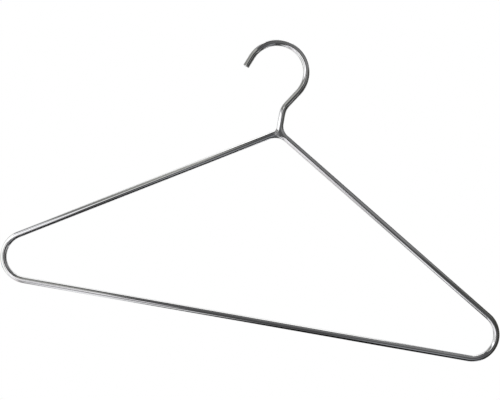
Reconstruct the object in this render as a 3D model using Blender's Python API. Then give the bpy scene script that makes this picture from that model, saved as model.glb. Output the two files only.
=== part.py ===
"""A chromed wire clothes hanger: a bent frame rod, a bent hook rod and the welds that join them.

The hanger lies in the XZ plane. The origin is the point of the hook's inner crown that hangs on a rail,
+Z points up and the hook opens towards -X.
"""

import math

import bmesh
import bpy

# Driving dimensions in metres and radians

# Both rods are cut from the same round stock
ROD_DIAMETER = 0.0055

# The frame: width over the outsides of its end bends, both bend radii at the rod's centre line,
# and the angle between each shoulder and the bar
FRAME_WIDTH = 0.4307
LEFT_BEND_RADIUS = 0.02028
RIGHT_BEND_RADIUS = 0.02045
SHOULDER_SLOPE = math.radians(31.4)

# The hook, from its foot to its tip: the straight neck, the bend that leans it over, the straight lean,
# the round crown and the straight tip with its rounded edge
NECK_LENGTH = 0.00417
NECK_BEND_RADIUS = 0.0177
NECK_LEAN = math.radians(33.2)
LEAN_LENGTH = 0.0138
HOOK_RADIUS = 0.025
HOOK_TURN = math.radians(191.5)
TIP_LENGTH = 0.0097
TIP_ROUNDING = 0.0005

# The welds: ground fillets on the neck's left and right and under the apex, and the length by which
# the weld metal runs on along each rod past the longest fillet
LEFT_FILLET_RADIUS = 0.003
RIGHT_FILLET_RADIUS = 0.011
UNDERSIDE_FILLET_RADIUS = 0.013
WELD_RUNOUT = 0.001

# Clear space between two pieces that meet
JOINT_GAP = 0.0003

# Fineness of the round shapes
ROD_SIDES = 24
BEND_STEP = math.radians(6)
TIP_STEPS = 3
FILLET_STEPS = 8
WELD_SLICES = 16
WELD_RIDGE_ANGLE = math.radians(86)
SHARP_EDGE_ANGLE = math.radians(40)

# Sizes that follow from the driving dimensions
ROD_RADIUS = ROD_DIAMETER / 2
BAR_LENGTH = FRAME_WIDTH - ROD_DIAMETER - LEFT_BEND_RADIUS - RIGHT_BEND_RADIUS
END_BEND_TURN = math.pi - SHOULDER_SLOPE

# Headings of the three rods as they leave the crossing of their centre lines
RIGHT_HEADING = -SHOULDER_SLOPE
NECK_HEADING = math.pi / 2
LEFT_HEADING = math.pi + SHOULDER_SLOPE
FULL_TURN = 2 * math.pi


def heading_vector(angle):
    """Unit vector in the hanger's plane, as (x, z)."""
    return math.cos(angle), math.sin(angle)


def moved(point, angle, distance):
    """The point that lies a distance away along a heading."""
    x, z = heading_vector(angle)
    return point[0] + x * distance, point[1] + z * distance


class CentreLine:
    """The centre line of a rod, laid out in the hanger's plane as a chain of straights and bends."""

    def __init__(self, start, heading):
        self.stations = [(start, heading)]

    def end(self):
        return self.stations[-1]

    def straight(self, length):
        point, heading = self.end()
        self.stations.append((moved(point, heading, length), heading))

    def bend(self, radius, turn):
        """Turn to the left by a positive angle, or to the right by a negative one."""
        point, heading = self.end()
        side = math.copysign(math.pi / 2, turn)
        centre = moved(point, heading + side, radius)
        steps = math.ceil(abs(turn) / BEND_STEP)
        for step in range(1, steps + 1):
            angle = heading + turn * step / steps
            self.stations.append((moved(centre, angle - side, radius), angle))


def fillet_reach(radius, corner, half_width):
    """Distance from the crossing to the end of a fillet, measured along either rod of a corner."""
    return (radius + half_width) / math.tan(corner / 2)


def weld_corners():
    """The three corners between the rods: the first rod's heading, the corner's angle and its fillet."""
    return [
        (RIGHT_HEADING, NECK_HEADING - RIGHT_HEADING, RIGHT_FILLET_RADIUS),
        (NECK_HEADING, LEFT_HEADING - NECK_HEADING, LEFT_FILLET_RADIUS),
        (LEFT_HEADING, RIGHT_HEADING + FULL_TURN - LEFT_HEADING, UNDERSIDE_FILLET_RADIUS),
    ]


def weld_reach():
    """Distance from the crossing to the flat ends of the weld metal, alike on all three rods."""
    reaches = [fillet_reach(fillet, corner, ROD_RADIUS) for _, corner, fillet in weld_corners()]
    return max(reaches) + WELD_RUNOUT


def rod_end_distance():
    """Distance from the crossing to the cut ends of the rods."""
    return weld_reach() + JOINT_GAP


def bend_reach(radius):
    """Distance from the corner where the lines of a shoulder and the bar meet to either end of its bend."""
    return radius / math.tan(SHOULDER_SLOPE / 2)


def corner_distance():
    """Distance from the crossing to the corner of either shoulder and the bar."""
    span = BAR_LENGTH + bend_reach(LEFT_BEND_RADIUS) + bend_reach(RIGHT_BEND_RADIUS)
    return span / 2 / math.cos(SHOULDER_SLOPE)


def frame_centre_line():
    """From the left end at the weld down, round the bar and up to the right end; (0, 0) is the crossing."""
    shoulder = corner_distance() - rod_end_distance()
    line = CentreLine(moved((0, 0), LEFT_HEADING, rod_end_distance()), LEFT_HEADING)
    line.straight(shoulder - bend_reach(LEFT_BEND_RADIUS))
    line.bend(LEFT_BEND_RADIUS, END_BEND_TURN)
    line.straight(BAR_LENGTH)
    line.bend(RIGHT_BEND_RADIUS, END_BEND_TURN)
    line.straight(shoulder - bend_reach(RIGHT_BEND_RADIUS))
    return line


def neck_centre_line():
    """From the hook's foot at (0, 0) to the place where its crown begins."""
    line = CentreLine((0, 0), NECK_HEADING)
    line.straight(NECK_LENGTH)
    line.bend(NECK_BEND_RADIUS, -NECK_LEAN)
    line.straight(LEAN_LENGTH)
    return line


def hook_centre_line():
    """From the foot at (0, 0) to the tip, which still lacks the length of its rounded edge."""
    line = neck_centre_line()
    line.bend(HOOK_RADIUS, HOOK_TURN)
    line.straight(TIP_LENGTH - TIP_ROUNDING)
    return line


def rail_seat():
    """The highest point of the hook's inner side, as (x, z) from the hook's foot."""
    start, heading = neck_centre_line().end()
    x, z = moved(start, heading + math.pi / 2, HOOK_RADIUS)
    return x, z + HOOK_RADIUS - ROD_RADIUS


def rod_ring(mesh, point, heading, radius):
    """A ring of vertices square to a heading; its first vertex is on the left of the centre line."""
    ring = []
    for side in range(ROD_SIDES):
        angle = FULL_TURN * side / ROD_SIDES
        x, z = moved(point, heading + math.pi / 2, radius * math.cos(angle))
        ring.append(mesh.verts.new((x, radius * math.sin(angle), z)))
    return ring


def join_rings(mesh, first, second):
    """Faces between two rings of the same count."""
    count = len(first)
    for index in range(count):
        following = (index + 1) % count
        mesh.faces.new((first[index], first[following], second[following], second[index]))


def closed_mesh(mesh, rings):
    """Join the rings in turn, cap the first and the last, and turn every face outwards."""
    for first, second in zip(rings, rings[1:]):
        join_rings(mesh, first, second)
    mesh.faces.new(rings[0])
    mesh.faces.new(rings[-1])
    bmesh.ops.recalc_face_normals(mesh, faces=mesh.faces)


def rod_rings(mesh, line):
    """One ring at every station of a centre line."""
    return [rod_ring(mesh, point, heading, ROD_RADIUS) for point, heading in line.stations]


def rounded_tip_rings(mesh, line):
    """Rings that narrow over the rounded edge of a cut end."""
    point, heading = line.end()
    rings = []
    for step in range(1, TIP_STEPS + 1):
        angle = math.pi / 2 * step / TIP_STEPS
        advance = TIP_ROUNDING * math.sin(angle)
        radius = ROD_RADIUS - TIP_ROUNDING * (1 - math.cos(angle))
        rings.append(rod_ring(mesh, moved(point, heading, advance), heading, radius))
    return rings


def weld_outline(half_width, reach):
    """Outline of the three joined rods at one depth, with a fillet in each corner, as (x, z) points."""
    outline = []
    for heading, corner, fillet in weld_corners():
        next_heading = heading + corner
        centre_distance = (fillet + half_width) / math.sin(corner / 2)
        centre = moved((0, 0), heading + corner / 2, centre_distance)
        outline.append(moved(moved((0, 0), heading, reach), heading + math.pi / 2, half_width))
        for step in range(FILLET_STEPS + 1):
            angle = heading - math.pi / 2 - (math.pi - corner) * step / FILLET_STEPS
            outline.append(moved(centre, angle, fillet))
        outline.append(moved(moved((0, 0), next_heading, reach), next_heading - math.pi / 2, half_width))
    return outline


def weld_metal(mesh):
    """The whole weld as a stack of outlines from the far face to the near one."""
    reach = weld_reach()
    rings = []
    for index in range(WELD_SLICES + 1):
        angle = WELD_RIDGE_ANGLE * (2 * index / WELD_SLICES - 1)
        depth = ROD_RADIUS * math.sin(angle)
        outline = weld_outline(ROD_RADIUS * math.cos(angle), reach)
        rings.append([mesh.verts.new((x, depth, z)) for x, z in outline])
    closed_mesh(mesh, rings)


def cut_level(mesh, height, keep_above):
    """Cut away what lies below a level, or what lies above it, and close the cut with a flat face."""
    geometry = mesh.verts[:] + mesh.edges[:] + mesh.faces[:]
    cut = bmesh.ops.bisect_plane(
        mesh, geom=geometry, plane_co=(0, 0, height), plane_no=(0, 0, 1),
        clear_inner=keep_above, clear_outer=not keep_above)
    rim = [item for item in cut["geom_cut"] if isinstance(item, bmesh.types.BMEdge)]
    bmesh.ops.contextual_create(mesh, geom=rim)
    bmesh.ops.recalc_face_normals(mesh, faces=mesh.faces)


def weld_split_level():
    """Height of the frame's upper outline where its shoulders meet: the hook's foot stands on it."""
    return ROD_RADIUS / math.cos(SHOULDER_SLOPE)


def finish(name, colour, roughness):
    """A bright metal finish."""
    material = bpy.data.materials.new(name)
    material.use_nodes = True
    shader = material.node_tree.nodes["Principled BSDF"]
    shader.inputs["Base Color"].default_value = (*colour, 1)
    shader.inputs["Roughness"].default_value = roughness
    shader.inputs["Metallic"].default_value = 1
    return material


def add_piece(name, mesh, material, parent, height=0):
    """Make a named object, smooth on its round faces, at a height above the crossing."""
    data = bpy.data.meshes.new(name)
    mesh.to_mesh(data)
    mesh.free()
    data.materials.append(material)
    data.shade_smooth()
    data.set_sharp_from_angle(angle=SHARP_EDGE_ANGLE)
    piece = bpy.data.objects.new(name, data)
    piece.parent = parent
    piece.location.z = height
    bpy.context.scene.collection.objects.link(piece)


def add_frame_rod(parent):
    """The rod bent into a triangle, open at the apex."""
    mesh = bmesh.new()
    closed_mesh(mesh, rod_rings(mesh, frame_centre_line()))
    add_piece("frame_rod", mesh, finish("bright_chrome_frame", (0.77, 0.77, 0.78), 0.07), parent)


def add_hook_rod(parent):
    """The rod bent into the hook; it stands on its foot above the weld."""
    mesh = bmesh.new()
    line = hook_centre_line()
    closed_mesh(mesh, rod_rings(mesh, line) + rounded_tip_rings(mesh, line))
    material = finish("bright_chrome_hook", (0.76, 0.76, 0.77), 0.08)
    add_piece("hook_rod", mesh, material, parent, rod_end_distance())


def add_frame_weld(parent):
    """The weld metal that closes the triangle, up to the frame's upper outline."""
    mesh = bmesh.new()
    weld_metal(mesh)
    cut_level(mesh, weld_split_level() - JOINT_GAP / 2, keep_above=False)
    add_piece("frame_weld", mesh, finish("ground_chrome_frame_weld", (0.68, 0.68, 0.69), 0.2), parent)


def add_hook_weld(parent):
    """The flared weld metal between the frame and the hook's foot."""
    mesh = bmesh.new()
    weld_metal(mesh)
    cut_level(mesh, weld_split_level() + JOINT_GAP / 2, keep_above=True)
    add_piece("hook_weld", mesh, finish("ground_chrome_hook_weld", (0.70, 0.70, 0.71), 0.18), parent)


def add_hanger():
    """An empty at the crossing of the centre lines carries the pieces below the rail seat."""
    seat_x, seat_z = rail_seat()
    hanger = bpy.data.objects.new("hanger", None)
    hanger.location = (-seat_x, 0, -seat_z - rod_end_distance())
    bpy.context.scene.collection.objects.link(hanger)
    add_frame_rod(hanger)
    add_hook_rod(hanger)
    add_frame_weld(hanger)
    add_hook_weld(hanger)


def clear_scene():
    """Remove whatever the scene holds at the start."""
    for item in list(bpy.data.objects):
        bpy.data.objects.remove(item)


clear_scene()
add_hanger()
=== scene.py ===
"""The looks of a chromed wire clothes hanger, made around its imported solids.

The hanger lies in the XZ plane. The origin is the point of the hook's inner crown that hangs on a rail,
+Z points up and the hook opens towards -X. Sizes are in metres and radians.
"""

import math
from collections import namedtuple

import bmesh
import bpy
from mathutils import Matrix, Vector, noise


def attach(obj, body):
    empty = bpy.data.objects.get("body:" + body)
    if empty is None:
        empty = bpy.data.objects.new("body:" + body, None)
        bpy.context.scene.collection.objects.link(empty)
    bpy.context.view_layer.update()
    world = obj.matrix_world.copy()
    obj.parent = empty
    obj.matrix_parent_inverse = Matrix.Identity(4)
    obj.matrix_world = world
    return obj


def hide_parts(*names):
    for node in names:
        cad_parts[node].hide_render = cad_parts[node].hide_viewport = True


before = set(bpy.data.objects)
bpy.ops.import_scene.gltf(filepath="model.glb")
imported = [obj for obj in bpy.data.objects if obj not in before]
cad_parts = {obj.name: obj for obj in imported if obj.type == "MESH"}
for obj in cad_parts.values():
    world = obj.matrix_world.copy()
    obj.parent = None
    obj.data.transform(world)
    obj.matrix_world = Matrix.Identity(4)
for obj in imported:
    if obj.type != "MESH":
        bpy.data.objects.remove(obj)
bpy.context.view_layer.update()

# Sizes of the hanger, the same as in its solids

ROD_DIAMETER = 0.0055
FRAME_WIDTH = 0.4307
LEFT_BEND_RADIUS = 0.02028
RIGHT_BEND_RADIUS = 0.02045
SHOULDER_SLOPE = math.radians(31.4)
NECK_LENGTH = 0.00417
NECK_BEND_RADIUS = 0.0177
NECK_LEAN = math.radians(33.2)
LEAN_LENGTH = 0.0138
HOOK_RADIUS = 0.025
HOOK_TURN = math.radians(191.5)
TIP_LENGTH = 0.0097
TIP_ROUNDING = 0.0005
LEFT_FILLET_RADIUS = 0.003
RIGHT_FILLET_RADIUS = 0.011
UNDERSIDE_FILLET_RADIUS = 0.013
WELD_RUNOUT = 0.001
JOINT_GAP = 0.0003

ROD_RADIUS = ROD_DIAMETER / 2
BAR_LENGTH = FRAME_WIDTH - ROD_DIAMETER - LEFT_BEND_RADIUS - RIGHT_BEND_RADIUS
END_BEND_TURN = math.pi - SHOULDER_SLOPE
RIGHT_HEADING = -SHOULDER_SLOPE
NECK_HEADING = math.pi / 2
LEFT_HEADING = math.pi + SHOULDER_SLOPE
FULL_TURN = 2 * math.pi

# Fineness of the swept rods and of the weld metal, and how level a flat face of it is

ROD_SIDES = 64
STATION_SPACING = 0.0015
BEND_STEP = math.radians(2)
TIP_STEPS = 8
FILLET_STEPS = 28
ARM_STEPS = 6
WELD_SLICES = 56
WELD_RIDGE_ANGLE = math.radians(88.5)
SHARP_EDGE_ANGLE = math.radians(40)
LEVEL_TOLERANCE = JOINT_GAP / 100

# Unevenness of the rods: how deep the polishing wheel bites, its waves per metre across the wire and along
# it, the length over which they die out before a weld, and a number for each rod that makes its waves its own

ROD_UNEVENNESS = 0.000016
ROD_WAVES = (110.0, 110.0, 9.0)
ROD_EVEN_END = 0.012
FRAME_WAVES_SEED = 2.0
HOOK_WAVES_SEED = 5.0

# Unevenness of the welds: how deep the grinding goes, the sizes of its hollows with the share of each in that
# depth, their place in the noise, and the share of each arm over which they die out

WELD_UNEVENNESS = 0.00016
WELD_LUMPS = ((0.00472, 0.25), (0.00231, 0.18), (0.00105, 0.07))
WELD_LUMP_PLACE = (3.645, 8.172, 2.073)
WELD_EVEN_SHARE = 0.6

# The camera: a long lens level with the middle of the hanger, which is turned clockwise in the picture

LENS_MILLIMETRES = 169.5
SENSOR_MILLIMETRES = 36
PICTURE_WIDTH = 0.42543
PICTURE_CENTRE = (-0.00377, 0, -0.13337)
PICTURE_ROLL = math.radians(9.968)
CAMERA_DISTANCE = LENS_MILLIMETRES / SENSOR_MILLIMETRES * PICTURE_WIDTH


# Centre lines in the hanger's plane

def heading_vector(angle):
    """Unit vector in the hanger's plane, as (x, z)."""
    return math.cos(angle), math.sin(angle)


def moved(point, angle, distance):
    """The point that lies a distance away along a heading."""
    x, z = heading_vector(angle)
    return point[0] + x * distance, point[1] + z * distance


class CentreLine:
    """The centre line of a rod, laid out in the hanger's plane as a chain of straights and bends."""

    def __init__(self, start, heading):
        self.points = [start]
        self.heading = heading

    def straight(self, length, steps=0):
        """Go on ahead; the steps are as long as the station spacing unless their number is given."""
        start = self.points[-1]
        steps = steps or math.ceil(length / STATION_SPACING)
        for step in range(1, steps + 1):
            self.points.append(moved(start, self.heading, length * step / steps))

    def bend(self, radius, turn):
        """Turn to the left by a positive angle, or to the right by a negative one."""
        side = math.copysign(math.pi / 2, turn)
        centre = moved(self.points[-1], self.heading + side, radius)
        steps = math.ceil(abs(turn) / BEND_STEP)
        for step in range(1, steps + 1):
            angle = self.heading + turn * step / steps
            self.points.append(moved(centre, angle - side, radius))
        self.heading += turn

    def rounded_end(self, rounding):
        """Stations over the rounded edge of a cut end."""
        start = self.points[-1]
        for step in range(1, TIP_STEPS + 1):
            advance = rounding * math.sin(math.pi / 2 * step / TIP_STEPS)
            self.points.append(moved(start, self.heading, advance))


def fillet_reach(radius, corner, half_width):
    """Distance from the crossing to the end of a fillet, measured along either rod of a corner."""
    return (radius + half_width) / math.tan(corner / 2)


def weld_corners():
    """The three corners between the rods: the first rod's heading, the corner's angle and its fillet."""
    return [
        (RIGHT_HEADING, NECK_HEADING - RIGHT_HEADING, RIGHT_FILLET_RADIUS),
        (NECK_HEADING, LEFT_HEADING - NECK_HEADING, LEFT_FILLET_RADIUS),
        (LEFT_HEADING, RIGHT_HEADING + FULL_TURN - LEFT_HEADING, UNDERSIDE_FILLET_RADIUS),
    ]


LONGEST_FILLET = max(fillet_reach(fillet, corner, ROD_RADIUS) for _, corner, fillet in weld_corners())
WELD_REACH = LONGEST_FILLET + WELD_RUNOUT
ROD_END_DISTANCE = WELD_REACH + JOINT_GAP
SEAM_DISTANCE = WELD_REACH + JOINT_GAP / 2


def crown_start():
    """The place where the hook's crown begins, as (x, z) from the hook's foot, and the heading there."""
    line = CentreLine((0, 0), NECK_HEADING)
    line.straight(NECK_LENGTH, 1)
    line.bend(NECK_BEND_RADIUS, -NECK_LEAN)
    line.straight(LEAN_LENGTH, 1)
    return line.points[-1], line.heading


def crossing():
    """The crossing of the three centre lines: the hanger hangs by the hook's inner crown from (0, 0)."""
    start, heading = crown_start()
    seat_x, centre_z = moved(start, heading + math.pi / 2, HOOK_RADIUS)
    return -seat_x, -centre_z - HOOK_RADIUS + ROD_RADIUS - ROD_END_DISTANCE


CROSSING = crossing()


def bend_reach(radius):
    """Distance from the corner where the lines of a shoulder and the bar meet to either end of its bend."""
    return radius / math.tan(SHOULDER_SLOPE / 2)


def corner_distance():
    """Distance from the crossing to the corner of either shoulder and the bar."""
    span = BAR_LENGTH + bend_reach(LEFT_BEND_RADIUS) + bend_reach(RIGHT_BEND_RADIUS)
    return span / 2 / math.cos(SHOULDER_SLOPE)


def frame_line():
    """From the weld's left side down, round the bar and up to its right side."""
    shoulder = corner_distance() - SEAM_DISTANCE
    line = CentreLine(moved(CROSSING, LEFT_HEADING, SEAM_DISTANCE), LEFT_HEADING)
    line.straight(shoulder - bend_reach(LEFT_BEND_RADIUS))
    line.bend(LEFT_BEND_RADIUS, END_BEND_TURN)
    line.straight(BAR_LENGTH)
    line.bend(RIGHT_BEND_RADIUS, END_BEND_TURN)
    line.straight(shoulder - bend_reach(RIGHT_BEND_RADIUS))
    return line


def hook_line():
    """From the weld up the neck, over the crown and down to the tip."""
    line = CentreLine(moved(CROSSING, NECK_HEADING, SEAM_DISTANCE), NECK_HEADING)
    line.straight(NECK_LENGTH + JOINT_GAP / 2)
    line.bend(NECK_BEND_RADIUS, -NECK_LEAN)
    line.straight(LEAN_LENGTH)
    line.bend(HOOK_RADIUS, HOOK_TURN)
    line.straight(TIP_LENGTH - TIP_ROUNDING)
    line.rounded_end(TIP_ROUNDING)
    return line


# Finishes: first the places of the colours among the sockets of a Mix node, which share their names

MIX_FIRST_COLOUR = 6
MIX_SECOND_COLOUR = 7
MIX_RESULT_COLOUR = 2


class Signal:
    """One value in a node tree; a sum with it adds the nodes that work it out."""

    def __init__(self, nodes, socket):
        self.nodes = nodes
        self.socket = socket

    def worked_out(self, operation, first, second=0.0, clamped=False):
        return self.nodes.node(
            "ShaderNodeMath", {"operation": operation, "use_clamp": clamped}, {0: first, 1: second})

    def __add__(self, other):
        return self.worked_out("ADD", self, other)

    def __radd__(self, other):
        return self.worked_out("ADD", other, self)

    def __sub__(self, other):
        return self.worked_out("SUBTRACT", self, other)

    def __rsub__(self, other):
        return self.worked_out("SUBTRACT", other, self)

    def __mul__(self, other):
        return self.worked_out("MULTIPLY", self, other)

    def __rmul__(self, other):
        return self.worked_out("MULTIPLY", other, self)

    def __truediv__(self, other):
        return self.worked_out("DIVIDE", self, other)

    def __rtruediv__(self, other):
        return self.worked_out("DIVIDE", other, self)

    def clamped(self):
        """The same value kept between 0 and 1."""
        return self.worked_out("ADD", self, 0.0, clamped=True)

    def root(self):
        """The square root."""
        return self.worked_out("SQRT", self)

    def size(self):
        """The same value without its sign."""
        return self.worked_out("ABSOLUTE", self)

    def or_larger(self, other):
        """The larger one of two values."""
        return self.worked_out("MAXIMUM", self, other)

    def or_smaller(self, other):
        """The smaller one of two values."""
        return self.worked_out("MINIMUM", self, other)

    def spread(self, low, high, kind="LINEAR"):
        """0 at the low value, 1 at the high one and an even change between them."""
        return self.nodes.node(
            "ShaderNodeMapRange", {"interpolation_type": kind},
            {"Value": self, "From Min": low, "From Max": high})

    def faded(self, low, high):
        """0 at the low value, 1 at the high one and a smooth change between them."""
        return self.spread(low, high, "SMOOTHSTEP")


class NodeTree:
    """A node tree, built node by node."""

    def __init__(self, tree):
        self.tree = tree

    def node(self, kind, settings, inputs, output=0):
        """Add a node with its settings and the values or links of its sockets; give one of its outputs,
        if it has any."""
        added = self.tree.nodes.new(kind)
        for setting, value in settings.items():
            setattr(added, setting, value)
        for name, value in inputs.items():
            self.join(added.inputs[name], value)
        return Signal(self, added.outputs[output]) if added.outputs else None

    def join(self, socket, value):
        """Link a socket to a signal, or set it to a value."""
        if isinstance(value, Signal):
            self.tree.links.new(value.socket, socket)
        else:
            socket.default_value = value

    def part(self, vector, axis):
        """One coordinate of a vector."""
        return self.node("ShaderNodeSeparateXYZ", {}, {"Vector": vector}, output=axis)

    def stretched(self, vector, factors):
        """A place with each of its coordinates multiplied, which sets the size of a pattern each way."""
        return self.node("ShaderNodeVectorMath", {"operation": "MULTIPLY"}, {0: vector, 1: factors})


class Finish(NodeTree):
    """A material and the nodes that vary it over a surface."""

    def __init__(self, name):
        self.material = bpy.data.materials.new(name)
        self.material.use_nodes = True
        super().__init__(self.material.node_tree)
        self.shader = self.tree.nodes["Principled BSDF"]

    def surface(self, **inputs):
        """Join values and signals to the material's own sockets, named with _ for the spaces."""
        for name, value in inputs.items():
            self.join(self.shader.inputs[name.replace("_", " ")], value)

    def shown(self, shader):
        """Show a shader as the whole surface."""
        self.join(self.tree.nodes["Material Output"].inputs["Surface"], shader)

    def place(self):
        """The place on the object."""
        return self.node("ShaderNodeTexCoord", {}, {}, output="Object")

    def glow(self, colour, strength):
        """A surface that gives light."""
        return self.node("ShaderNodeEmission", {}, {"Color": (*colour, 1), "Strength": strength})

    def mixed(self, mask, first, second):
        """One shader that changes to another where the mask is 1."""
        return self.node("ShaderNodeMixShader", {}, {0: mask, 1: first, 2: second})

    def clear(self):
        """Nothing to see."""
        return self.node("ShaderNodeBsdfTransparent", {}, {})

    def grain(self, vector, factors, detail=2.0, distortion=0.0):
        """Soft noise from 0 to 1, with its patches per metre in each direction."""
        return self.node(
            "ShaderNodeTexNoise", {"noise_dimensions": "3D"},
            {"Vector": self.stretched(vector, factors), "Scale": 1.0, "Detail": detail,
             "Distortion": distortion})

    def far_from(self, place, point):
        """Distance of a place from a point."""
        return self.node(
            "ShaderNodeVectorMath", {"operation": "DISTANCE"}, {0: place, 1: point}, output="Value")

    def blended(self, mask, first, second):
        """One colour that changes to another where the mask is 1."""
        return self.node(
            "ShaderNodeMix", {"data_type": "RGBA"},
            {"Factor": mask, MIX_FIRST_COLOUR: (*first, 1), MIX_SECOND_COLOUR: (*second, 1)},
            output=MIX_RESULT_COLOUR)

    def bumped(self, height):
        """The surface normal for a height in metres."""
        return self.node("ShaderNodeBump", {}, {"Strength": 1.0, "Distance": 1.0, "Height": height})


def even(count):
    """The same number of patches per metre in each direction."""
    return (count, count, count)


# Chrome: its two colours, and the patches per metre in each direction of what is seen in it

CHROME_CLEAR = (0.700, 0.705, 0.715)
CHROME_HAZED = (0.655, 0.655, 0.660)
WIRE_MARKS = (2600, 2600, 22)
ORANGE_PEEL = even(620)
HAZE = even(34)
RAIL_RUBS = (1900, 60, 1900)
RIPPLES = even(520)
SCUFFS = (300, 1500, 2200)
SATIN = even(210)

# How strong the noise has to be for patches to begin, and to be full

HAZE_FADE = (0.42, 0.72)
RAIL_RUBS_FADE = (0.45, 0.62)
SATIN_FADE = (0.46, 0.66)

# Roughness of the polished metal, and how much duller each mark makes it

ROD_POLISH = 0.022
FRAME_WELD_POLISH = 0.035
HOOK_WELD_POLISH = 0.030
WIRE_MARKS_DULLNESS = 0.022
HAZE_DULLNESS = 0.030
RAIL_RUBS_DULLNESS = 0.16
SCUFFS_DULLNESS = 0.05
SATIN_DULLNESS = 0.08

# How high or deep each mark is

WIRE_MARKS_HEIGHT = 0.0000012
ORANGE_PEEL_HEIGHT = 0.0000016
RAIL_RUBS_DEPTH = 0.0000030
RIPPLES_HEIGHT = 0.0000130
SCUFFS_HEIGHT = 0.0000020

# Where the rail rubs: the inner side of the crown, to a share of the rod's radius, between two heights

RUBBED_SHARE = 0.55
RUBBED_LOWEST = -0.010
RUBBED_HIGHEST = 0.001

# Where the weld is ground: all of it within the first share of its reach, and nothing past the second

GROUND_FULL_SHARE = 0.35
GROUND_LAST_SHARE = 0.95

# The satin spot on the front of the weld, which is left of the crossing and below it

SATIN_SPOT_LEFT = 0.0016
SATIN_SPOT_BELOW = 0.0021
SATIN_SPOT_RADIUS = 0.0036
SATIN_SPOT_CORE_SHARE = 0.4
SATIN_SPOT_ROUGHNESS = 0.21
SATIN_SPOT_PATCHINESS = 0.30


def rod_chrome(name):
    """Bright chrome over drawn wire: fine marks along the wire, a slight orange peel and faint haze. Given
    with its place, its roughness and its height, to which more can be added."""
    chrome = Finish(name)
    unbent = chrome.node("ShaderNodeAttribute", {"attribute_name": "unbent"}, {}, output="Vector")
    place = chrome.place()
    marks = chrome.grain(unbent, WIRE_MARKS, detail=3.0)
    peel = chrome.grain(unbent, ORANGE_PEEL, detail=1.0)
    haze = chrome.grain(place, HAZE, detail=4.0, distortion=0.4).faded(*HAZE_FADE)
    chrome.surface(Base_Color=chrome.blended(haze, CHROME_CLEAR, CHROME_HAZED), Metallic=1.0)
    roughness = ROD_POLISH + marks * WIRE_MARKS_DULLNESS + haze * HAZE_DULLNESS
    height = marks * WIRE_MARKS_HEIGHT + peel * ORANGE_PEEL_HEIGHT
    return chrome, place, roughness, height


def frame_chrome():
    """The frame's chrome."""
    chrome, _, roughness, height = rod_chrome("bright_frame_chrome")
    chrome.surface(Roughness=roughness, Normal=chrome.bumped(height))
    return chrome.material


def hook_chrome():
    """The hook's chrome, rubbed a little dull where its inner crown slides along a rail."""
    chrome, place, roughness, height = rod_chrome("bright_hook_chrome")
    from_middle = chrome.far_from(place, (0, 0, -HOOK_RADIUS + ROD_RADIUS))
    inner_side = 1 - from_middle.faded(HOOK_RADIUS - ROD_RADIUS, HOOK_RADIUS - ROD_RADIUS * RUBBED_SHARE)
    crown = chrome.part(place, "Z").faded(RUBBED_LOWEST, RUBBED_HIGHEST)
    rubs = chrome.grain(place, RAIL_RUBS, detail=2.0).faded(*RAIL_RUBS_FADE)
    rubbed = inner_side * crown * rubs
    chrome.surface(
        Roughness=roughness + rubbed * RAIL_RUBS_DULLNESS,
        Normal=chrome.bumped(height - rubbed * RAIL_RUBS_DEPTH))
    return chrome.material


def weld_chrome(name, polish):
    """Chrome over ground weld metal: ripples and scuffs show through it, with satin patches between them.
    They die out towards the rods."""
    chrome = Finish(name)
    place = chrome.place()
    from_crossing = chrome.far_from(place, (CROSSING[0], 0, CROSSING[1]))
    ground = 1 - from_crossing.faded(WELD_REACH * GROUND_FULL_SHARE, WELD_REACH * GROUND_LAST_SHARE)
    ripples = chrome.grain(place, RIPPLES, detail=2.0, distortion=0.6) * ground
    scuffs = chrome.grain(place, SCUFFS, detail=3.0) * ground
    satin = chrome.grain(place, SATIN, detail=3.0, distortion=0.3).faded(*SATIN_FADE) * ground
    spot_middle = (CROSSING[0] - SATIN_SPOT_LEFT, -ROD_RADIUS, CROSSING[1] - SATIN_SPOT_BELOW)
    spot = 1 - chrome.far_from(place, spot_middle).faded(
        SATIN_SPOT_RADIUS * SATIN_SPOT_CORE_SHARE, SATIN_SPOT_RADIUS)
    dull_spot = spot * (SATIN_SPOT_ROUGHNESS + satin * SATIN_SPOT_PATCHINESS)
    chrome.surface(
        Base_Color=chrome.blended(satin, CHROME_CLEAR, CHROME_HAZED),
        Metallic=1.0,
        Roughness=polish + scuffs * SCUFFS_DULLNESS + satin * SATIN_DULLNESS + dull_spot,
        Normal=chrome.bumped(ripples * RIPPLES_HEIGHT + scuffs * SCUFFS_HEIGHT))
    return chrome.material


# Swept rods

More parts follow.
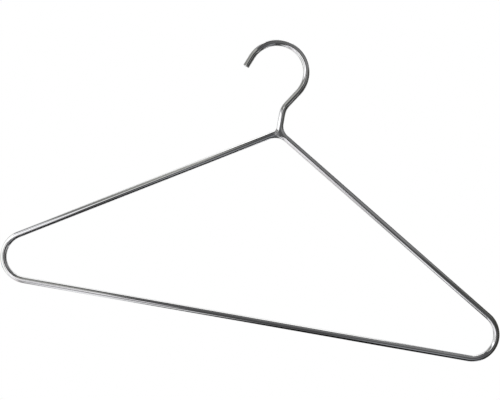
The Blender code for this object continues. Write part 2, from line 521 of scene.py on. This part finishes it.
def rod_sweep():
    """Nodes that sweep a round rod along a centre line and round the edge of its far end."""
    sweep = NodeTree(bpy.data.node_groups.new("rod_sweep", "GeometryNodeTree"))
    sockets = {}
    for name, kind in (
            ("Centre line", "NodeSocketGeometry"), ("Rod radius", "NodeSocketFloat"),
            ("Round sides", "NodeSocketInt"), ("End rounding", "NodeSocketFloat"),
            ("Unevenness", "NodeSocketFloat"), ("Seed", "NodeSocketFloat"),
            ("Finish", "NodeSocketMaterial")):
        sockets[name] = sweep.tree.interface.new_socket(name, in_out="INPUT", socket_type=kind).identifier
    sweep.tree.interface.new_socket("Rod", in_out="OUTPUT", socket_type="NodeSocketGeometry")
    given = {name: sweep.node("NodeGroupInput", {}, {}, output=name) for name in sockets}

    def stored(geometry, name, kind, value):
        return sweep.node(
            "GeometryNodeStoreNamedAttribute", {"data_type": kind, "domain": "POINT"},
            {"Geometry": geometry, "Name": name, "Value": value})

    def kept(name, kind):
        return sweep.node(
            "GeometryNodeInputNamedAttribute", {"data_type": kind}, {"Name": name}, output="Attribute")

    # Distance along the wire and distance from its nearer end, kept on its centre line
    along = sweep.node("GeometryNodeSplineParameter", {}, {}, output="Length")
    to_far_end = sweep.node("GeometryNodeSplineLength", {}, {}, output="Length") - along
    line = stored(given["Centre line"], "along", "FLOAT", along)
    line = stored(line, "from_end", "FLOAT", along.or_smaller(to_far_end))

    # The cut end's edge: a quarter circle that narrows the rod over the length of its rounding
    over_edge = 1.0 - (to_far_end / given["End rounding"]).clamped()
    inset = given["End rounding"] * (1.0 - (1.0 - over_edge * over_edge).root())
    scale = 1.0 - inset / given["Rod radius"]

    # The round section, which keeps its own coordinates for patterns that follow the wire
    circle = sweep.node(
        "GeometryNodeCurvePrimitiveCircle", {},
        {"Resolution": given["Round sides"], "Radius": given["Rod radius"]})
    section = stored(circle, "across", "FLOAT_VECTOR", sweep.node("GeometryNodeInputPosition", {}, {}))
    swept = sweep.node(
        "GeometryNodeCurveToMesh", {},
        {"Curve": line, "Profile Curve": section, "Scale": scale, "Fill Caps": True})
    across = kept("across", "FLOAT_VECTOR")
    unbent = sweep.node(
        "ShaderNodeCombineXYZ", {},
        {"X": sweep.part(across, "X"), "Y": sweep.part(across, "Y"), "Z": kept("along", "FLOAT")})
    marked = stored(swept, "unbent", "FLOAT_VECTOR", unbent)

    # Polishing takes a little metal away unevenly, and nothing where the weld goes on from the rod
    bite = sweep.node(
        "ShaderNodeTexNoise", {"noise_dimensions": "4D"},
        {"Vector": sweep.stretched(unbent, ROD_WAVES), "W": given["Seed"], "Scale": 1.0, "Detail": 1.0})
    depth = bite * given["Unevenness"] * kept("from_end", "FLOAT").faded(0.0, ROD_EVEN_END)
    inwards = sweep.node(
        "ShaderNodeVectorMath", {"operation": "SCALE"},
        {0: sweep.node("GeometryNodeInputNormal", {}, {}), "Scale": depth * -1.0})
    polished = sweep.node("GeometryNodeSetPosition", {}, {"Geometry": marked, "Offset": inwards})

    smooth = sweep.node("GeometryNodeSetShadeSmooth", {}, {"Geometry": polished})
    real = sweep.node("GeometryNodeRealizeInstances", {}, {"Geometry": smooth})
    done = sweep.node("GeometryNodeSetMaterial", {}, {"Geometry": real, "Material": given["Finish"]})
    sweep.node("NodeGroupOutput", {}, {"Rod": done})
    return sweep.tree, sockets


def line_object(name, line):
    """A curve through the stations of a centre line."""
    curve = bpy.data.curves.new(name, "CURVE")
    curve.dimensions = "3D"
    spline = curve.splines.new("POLY")
    spline.points.add(len(line.points) - 1)
    for station, (x, z) in zip(spline.points, line.points):
        station.co = (x, 0, z, 1)
    item = bpy.data.objects.new(name, curve)
    bpy.context.scene.collection.objects.link(item)
    return item


def add_rod(name, line, tree, sockets, material, seed, rounding=0.0):
    """Sweep a rod along its centre line and keep the result as a plain mesh."""
    carrier = line_object(name + "_line", line)
    sweep = carrier.modifiers.new("sweep", "NODES")
    sweep.node_group = tree
    for socket, value in (
            ("Rod radius", ROD_RADIUS), ("Round sides", ROD_SIDES), ("End rounding", rounding),
            ("Unevenness", ROD_UNEVENNESS), ("Seed", seed), ("Finish", material)):
        sweep[sockets[socket]] = value
    bpy.context.view_layer.update()
    evaluated = carrier.evaluated_get(bpy.context.evaluated_depsgraph_get())
    data = bpy.data.meshes.new_from_object(evaluated)
    data.name = name
    bpy.data.objects.remove(carrier)
    data.set_sharp_from_angle(angle=SHARP_EDGE_ANGLE)
    return placed(name, data)


def placed(name, data):
    """An object at the origin for a finished mesh."""
    piece = bpy.data.objects.new(name, data)
    bpy.context.scene.collection.objects.link(piece)
    return piece


# Weld metal

def weld_outline(half_width):
    """Outline of the joined rods at one depth: each point from the crossing, its outward direction in the
    plane and how fast the metal's half width grows towards it."""
    outline = []
    for heading, corner, fillet in weld_corners():
        bisector = heading + corner / 2
        sine = math.sin(corner / 2)
        centre = moved((0, 0), bisector, (fillet + half_width) / sine)
        reach = fillet_reach(fillet, corner, half_width)
        outward = heading + math.pi / 2
        for step in range(ARM_STEPS):
            distance = SEAM_DISTANCE + (reach - SEAM_DISTANCE) * step / ARM_STEPS
            outline.append((moved(moved((0, 0), heading, distance), outward, half_width), outward, 1.0))
        for step in range(FILLET_STEPS + 1):
            angle = heading - math.pi / 2 - (math.pi - corner) * step / FILLET_STEPS
            growth = sine / max(math.cos(angle - bisector - math.pi), sine)
            outline.append((moved(centre, angle, fillet), angle + math.pi, growth))
        heading += corner
        outward = heading - math.pi / 2
        for step in range(1, ARM_STEPS + 1):
            distance = reach + (SEAM_DISTANCE - reach) * step / ARM_STEPS
            outline.append((moved(moved((0, 0), heading, distance), outward, half_width), outward, 1.0))
    return outline


def weld_point(outline_point, depth):
    """Place and outward normal of one point of the weld's surface, from the crossing."""
    (x, z), outward, growth = outline_point
    lean_x, lean_z = heading_vector(outward)
    half_width = math.sqrt(ROD_RADIUS ** 2 - depth ** 2)
    normal = Vector((lean_x * half_width * growth, depth, lean_z * half_width * growth)).normalized()
    return Vector((x, depth, z)), normal


def lumped(place, normal):
    """Move a point inwards by the hollows left by grinding; none are left where the rods begin."""
    near = min(max((SEAM_DISTANCE - place.length) / (SEAM_DISTANCE * WELD_EVEN_SHARE), 0), 1)
    window = near * near * (3 - 2 * near)
    hollow = 0.5
    for size, share in WELD_LUMPS:
        hollow += share * noise.noise(place / size + Vector(WELD_LUMP_PLACE))
    return place - normal * WELD_UNEVENNESS * hollow * window


def join_rings(mesh, first, second):
    """Faces between two rings of the same count."""
    count = len(first)
    for index in range(count):
        following = (index + 1) % count
        mesh.faces.new((first[index], first[following], second[following], second[index]))


def weld_metal():
    """The whole weld at its place, with the normal of its ground surface kept at every point."""
    mesh = bmesh.new()
    kept = mesh.verts.layers.float_vector.new("surface_normal")
    middle = Vector((CROSSING[0], 0, CROSSING[1]))
    rings = []
    arm_ends = {}
    for index in range(WELD_SLICES + 1):
        angle = WELD_RIDGE_ANGLE * (2 * index / WELD_SLICES - 1)
        ring = []
        for outline_point in weld_outline(ROD_RADIUS * math.cos(angle)):
            place, normal = weld_point(outline_point, ROD_RADIUS * math.sin(angle))
            vertex = mesh.verts.new(lumped(place, normal) + middle)
            if place.length > SEAM_DISTANCE - JOINT_GAP:
                arm_ends[vertex] = normal
            ring.append(vertex)
        rings.append(ring)
    for first, second in zip(rings, rings[1:]):
        join_rings(mesh, first, second)
    mesh.faces.new(rings[0])
    mesh.faces.new(rings[-1])
    bmesh.ops.recalc_face_normals(mesh, faces=mesh.faces)
    mesh.normal_update()
    for vertex in mesh.verts:
        vertex[kept] = arm_ends.get(vertex, vertex.normal)
    return mesh


def weld_half(mesh, height, keep_above):
    """Cut away what lies below a level, or what lies above it, and close the cut with a flat face."""
    geometry = mesh.verts[:] + mesh.edges[:] + mesh.faces[:]
    cut = bmesh.ops.bisect_plane(
        mesh, geom=geometry, plane_co=(0, 0, height), plane_no=(0, 0, 1),
        clear_inner=keep_above, clear_outer=not keep_above)
    rim = [item for item in cut["geom_cut"] if isinstance(item, bmesh.types.BMEdge)]
    bmesh.ops.contextual_create(mesh, geom=rim)
    bmesh.ops.recalc_face_normals(mesh, faces=mesh.faces)


def is_hidden_end(face, height):
    """Whether a face is the flat cut between the two welds or the flat end where a rod goes on."""
    if all(abs(vertex.co.z - height) < LEVEL_TOLERANCE for vertex in face.verts):
        return True
    from_crossing = [Vector((v.co.x - CROSSING[0], v.co.z - CROSSING[1])) for v in face.verts]
    for heading in (RIGHT_HEADING, NECK_HEADING, LEFT_HEADING):
        ahead = Vector(heading_vector(heading))
        if all(abs(point.dot(ahead) - SEAM_DISTANCE) < LEVEL_TOLERANCE for point in from_crossing):
            return True
    return False


def add_weld(name, keep_above, material):
    """One of the two welds, with the shading of the whole weld's surface."""
    height = CROSSING[1] + ROD_RADIUS / math.cos(SHOULDER_SLOPE)
    mesh = weld_metal()
    weld_half(mesh, height, keep_above)
    kept = mesh.verts.layers.float_vector["surface_normal"]
    normals = []
    for face in mesh.faces:
        face.smooth = True
        flat = is_hidden_end(face, height)
        for corner in face.loops:
            normals.append(face.normal.copy() if flat else corner.vert[kept].normalized())
    data = bpy.data.meshes.new(name)
    mesh.to_mesh(data)
    mesh.free()
    data.materials.append(material)
    data.normals_split_custom_set(normals)
    return placed(name, data)


# The hanger

def add_hanger():
    """All four pieces; each stands for the solid of the same name and rides on the one body."""
    tree, sockets = rod_sweep()
    pieces = {
        "frame_rod": add_rod(
            "bent_frame_rod", frame_line(), tree, sockets, frame_chrome(), FRAME_WAVES_SEED),
        "hook_rod": add_rod(
            "bent_hook_rod", hook_line(), tree, sockets, hook_chrome(), HOOK_WAVES_SEED, TIP_ROUNDING),
        "frame_weld": add_weld(
            "apex_weld", False, weld_chrome("ground_frame_weld_chrome", FRAME_WELD_POLISH)),
        "hook_weld": add_weld(
            "neck_weld", True, weld_chrome("ground_hook_weld_chrome", HOOK_WELD_POLISH)),
    }
    for node, piece in pieces.items():
        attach(piece, "root")
        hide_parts(node)


# Studio

WHITE = (1.0, 1.0, 1.0)
FLOOR_COLOUR = (0.93, 0.93, 0.92)
FLOOR_DEPTH = 0.60
FLOOR_RADIUS = 1.60
FLOOR_CLEAR_RADIUS = 0.50
FLOOR_CORNERS = 96
FLOOR_GRIT = even(90)
FLOOR_GRIT_SHADE = 0.98
FLOOR_WHITE_SHARE = 0.98
ROOM_LIGHT = 0.62
LAMP_PLACE = (-0.9, -1.0, 1.3)
LAMP_SIZE = 1.0
LAMP_WATTS = 12

# Cards and softboxes around the hanger, as the camera sees them: the angle from the line to the camera, the
# angle around that line, the distance, both half sizes, the turn in its own plane, the brightness, how much
# of it is gained on one side and lost on the other, and how much redder and bluer than plain grey it is. The
# edge of a card fades out over a share of its distance and a little more.

CardRow = namedtuple(
    "CardRow", "away around distance half_width half_height roll brightness grade redder bluer")

CARD_EDGE_SHARE = 0.026
CARD_EDGE_LEAST = 0.004
HIDDEN_FROM = (
    "visible_camera", "visible_diffuse", "visible_transmission", "visible_volume_scatter",
    "visible_shadow")

CARDS = {
    "dim_room": (10.1, 328.4, 1.213, 1.237, 1.596, 79.1, 0.389, 0.78, 0.01, 0.02),
    "low_side_black_card": (94.9, 281.9, 0.478, 0.263, 0.334, 160.9, 0.007, -0.75, 0.00, 0.02),
    "left_front_dark_card": (3.7, 178.4, 1.094, 0.946, 0.461, 20.4, 0.110, -0.76, 0.00, 0.01),
    "right_side_dark_card": (85.7, 349.3, 0.401, 0.232, 0.496, 135.0, 0.070, -0.64, 0.02, -0.11),
    "high_right_side_grey_card": (61.5, 66.2, 0.360, 0.360, 0.333, 354.6, 0.193, -0.78, 0.00, 0.00),
    "low_back_black_card": (120.3, 266.2, 1.302, 0.196, 0.104, 280.1, 0.008, 0.75, 0.01, -0.01),
    "high_right_back_black_card": (114.8, 22.8, 0.426, 0.257, 0.111, 191.2, 0.007, 0.75, 0.01, -0.02),
    "high_left_side_grey_card": (94.4, 141.8, 1.474, 0.688, 0.617, 136.1, 0.240, -0.75, 0.01, -0.03),
    "low_left_side_pale_card": (97.2, 233.0, 0.726, 0.138, 0.355, 186.8, 0.606, 0.76, 0.05, 0.00),
    "high_left_side_grey_card_2": (58.4, 128.6, 0.382, 0.088, 0.228, 2.3, 0.385, -0.45, 0.00, -0.07),
    "low_left_front_softbox": (32.2, 219.7, 0.710, 0.192, 0.086, 51.9, 1.428, 0.00, 0.03, 0.03),
    "high_back_softbox": (109.9, 93.5, 1.603, 0.814, 0.393, 34.8, 1.851, 0.15, 0.01, -0.03),
    "high_left_front_black_card": (5.8, 142.6, 1.600, 0.183, 0.161, 94.0, 0.015, 0.48, 0.01, -0.01),
    "high_left_side_softbox": (51.4, 152.9, 0.663, 0.107, 0.438, 0.8, 1.289, 0.77, 0.00, 0.02),
    "high_left_side_softbox_2": (60.4, 144.2, 1.263, 0.326, 0.330, 101.0, 2.200, -0.75, 0.00, 0.02),
    "low_right_side_grey_card": (39.5, 301.3, 0.884, 0.224, 0.252, 338.3, 0.216, -0.76, -0.02, 0.05),
    "right_side_dark_card_2": (54.9, 2.9, 0.377, 0.130, 0.082, 130.7, 0.109, -0.76, -0.03, -0.04),
    "high_right_side_black_card": (70.8, 63.1, 0.837, 0.358, 0.299, 71.2, 0.008, 0.75, 0.01, -0.01),
    "left_side_softbox": (83.9, 180.9, 0.320, 0.147, 0.077, 180.6, 1.468, 0.12, 0.00, -0.03),
    "left_front_black_card": (28.3, 199.8, 0.466, 0.046, 0.041, 88.8, 0.008, 0.75, 0.01, -0.01),
    "low_right_side_dark_card": (97.6, 304.9, 0.785, 0.580, 0.562, 136.6, 0.092, 0.75, 0.00, -0.01),
    "low_left_side_softbox": (71.5, 240.5, 1.275, 0.134, 0.818, 31.8, 1.337, -0.76, 0.01, 0.03),
    "high_right_side_black_card_2": (41.3, 63.6, 0.509, 0.224, 0.262, 8.6, 0.017, -0.75, 0.01, -0.02),
    "left_front_softbox": (14.5, 171.7, 1.087, 0.128, 0.285, 87.8, 1.777, -0.65, 0.01, -0.02),
    "low_right_back_softbox": (111.3, 300.6, 0.387, 0.044, 0.109, 149.1, 1.044, -0.75, -0.01, 0.02),
    "low_back_softbox": (108.1, 283.7, 1.600, 0.159, 0.348, 20.1, 2.200, -0.75, 0.01, -0.01),
    "high_right_side_dark_card": (97.8, 54.2, 0.878, 0.215, 0.226, 300.3, 0.146, 0.75, 0.01, -0.01),
    "high_back_softbox_2": (110.4, 85.2, 0.655, 0.235, 0.084, 27.6, 1.706, -0.57, 0.01, -0.02),
    "high_left_side_black_card": (97.2, 129.8, 1.600, 0.126, 0.202, 354.3, 0.009, 0.04, 0.01, -0.01),
    "left_back_black_card": (109.6, 187.0, 0.955, 0.376, 0.149, 140.1, 0.008, -0.75, 0.01, -0.01),
}
BACK_CARDS = {
    "back_dim_card": (174.0, 40.0, 1.50, 0.56, 0.44, 20.0, 0.16, 0.35, 0.0, 0.0),
    "back_black_card": (166.0, 255.0, 0.90, 0.07, 0.26, 80.0, 0.03, 0.0, 0.0, 0.0),
}


def add_camera():
    """The camera looks along +Y at the middle of the picture, turned about its own axis."""
    camera = bpy.data.cameras.new("camera")
    camera.lens = LENS_MILLIMETRES
    camera.sensor_width = SENSOR_MILLIMETRES
    item = bpy.data.objects.new("camera", camera)
    across = Vector((math.cos(PICTURE_ROLL), 0, math.sin(PICTURE_ROLL)))
    up = Vector((-math.sin(PICTURE_ROLL), 0, math.cos(PICTURE_ROLL)))
    turn = Matrix((across, up, across.cross(up))).transposed()
    place = Vector(PICTURE_CENTRE) - Vector((0, CAMERA_DISTANCE, 0))
    item.matrix_world = Matrix.Translation(place) @ turn.to_4x4()
    bpy.context.scene.collection.objects.link(item)
    bpy.context.scene.camera = item
    return turn


def add_world():
    """White all round for the camera, metal and glass, and a plain even light for the object."""
    world = bpy.data.worlds.new("studio")
    world.use_nodes = True
    bpy.context.scene.world = world
    sky = NodeTree(world.node_tree)
    camera, metal, glass = (
        sky.node("ShaderNodeLightPath", {}, {}, output=f"Is {ray} Ray")
        for ray in ("Camera", "Glossy", "Transmission"))
    seen_white = camera.or_larger(metal).or_larger(glass)
    background = world.node_tree.nodes["Background"]
    background.inputs["Color"].default_value = (*WHITE, 1)
    sky.join(background.inputs["Strength"], ROOM_LIGHT + seen_white * (1 - ROOM_LIGHT))


def plane_mesh(name, half_width, half_height):
    """A flat rectangle about its own middle."""
    mesh = bmesh.new()
    corners = ((-1, -1), (1, -1), (1, 1), (-1, 1))
    mesh.faces.new([mesh.verts.new((x * half_width, y * half_height, 0)) for x, y in corners])
    data = bpy.data.meshes.new(name)
    mesh.to_mesh(data)
    mesh.free()
    return data


def add_floor():
    """A plain pale floor under the hanger, which goes over into the white of the studio all round and
    is open to the view from below."""
    mesh = bmesh.new()
    rim = [Vector((math.cos(angle), math.sin(angle), 0)) * FLOOR_RADIUS
           for angle in (FULL_TURN * corner / FLOOR_CORNERS for corner in range(FLOOR_CORNERS))]
    mesh.faces.new([mesh.verts.new(place) for place in rim])
    data = bpy.data.meshes.new("floor")
    mesh.to_mesh(data)
    mesh.free()
    floor = placed("floor", data)
    floor.location = (0, 0, -FLOOR_DEPTH)
    paint = Finish("pale_floor_paint")
    grit = paint.grain(paint.place(), FLOOR_GRIT, detail=3.0)
    shaded = tuple(value * FLOOR_GRIT_SHADE for value in FLOOR_COLOUR)
    paint.surface(
        Base_Color=paint.blended(grit, FLOOR_COLOUR, shaded), Roughness=0.9, Specular_IOR_Level=0.0)
    outwards = paint.far_from(paint.place(), (0, 0, 0)).faded(
        FLOOR_CLEAR_RADIUS, FLOOR_RADIUS * FLOOR_WHITE_SHARE)
    fading = paint.mixed(outwards, Signal(paint, paint.shader.outputs[0]), paint.glow(WHITE, 1.0))
    from_below = paint.node("ShaderNodeNewGeometry", {}, {}, output="Backfacing")
    paint.shown(paint.mixed(from_below, fading, paint.clear()))
    floor.data.materials.append(paint.material)
    floor.visible_glossy = False


def card_glow(name, row, edge):
    """A glowing surface whose edges fade out; it is brighter towards one of its sides."""
    paint = Finish(name)
    across = paint.part(paint.place(), "X")
    upwards = paint.part(paint.place(), "Y")
    within_width = 1 - across.size().spread(row.half_width - edge / 2, row.half_width + edge / 2)
    within_height = 1 - upwards.size().spread(row.half_height - edge / 2, row.half_height + edge / 2)
    tint = (1 + row.redder, 1, 1 + row.bluer)
    graded = paint.mixed(
        across.spread(-row.half_width, row.half_width),
        paint.glow(tint, row.brightness * (1 - row.grade)),
        paint.glow(tint, row.brightness * (1 + row.grade)))
    paint.shown(paint.mixed(within_width * within_height, paint.clear(), graded))
    return paint.material


def add_card(name, row, turn):
    """A card square to the line from the middle of the picture; only metal sees it."""
    away, around, roll = (math.radians(angle) for angle in (row.away, row.around, row.roll))
    outward = Vector(
        (math.sin(away) * math.cos(around), math.sin(away) * math.sin(around), math.cos(away)))
    first = Vector((-math.sin(around), math.cos(around), 0))
    second = outward.cross(first)
    wide = first * math.cos(roll) + second * math.sin(roll)
    high = second * math.cos(roll) - first * math.sin(roll)
    edge = CARD_EDGE_SHARE * row.distance + CARD_EDGE_LEAST
    card = placed(name, plane_mesh(name, row.half_width + edge, row.half_height + edge))
    place = Vector(PICTURE_CENTRE) + turn @ outward * row.distance
    facing = turn @ Matrix((wide, high, wide.cross(high))).transposed()
    card.matrix_world = Matrix.Translation(place) @ facing.to_4x4()
    card.data.materials.append(card_glow(name + "_glow", row, edge))
    for flag in HIDDEN_FROM:
        setattr(card, flag, False)


def add_lamp():
    """A soft lamp high on the left that points at the middle of the picture."""
    lamp = bpy.data.lights.new("high_lamp", "AREA")
    lamp.shape = "SQUARE"
    lamp.size = LAMP_SIZE
    lamp.energy = LAMP_WATTS
    item = bpy.data.objects.new("high_lamp", lamp)
    item.location = LAMP_PLACE
    aim = Vector(PICTURE_CENTRE) - Vector(LAMP_PLACE)
    item.rotation_euler = aim.to_track_quat("-Z", "Y").to_euler()
    item.visible_glossy = False
    item.visible_camera = False
    bpy.context.scene.collection.objects.link(item)


def add_studio():
    """Camera, world, floor, lamp and cards."""
    turn = add_camera()
    add_world()
    add_floor()
    add_lamp()
    for name, values in (CARDS | BACK_CARDS).items():
        add_card(name, CardRow(*values), turn)
    bpy.context.scene.view_settings.view_transform = "Standard"


add_studio()
add_hanger()
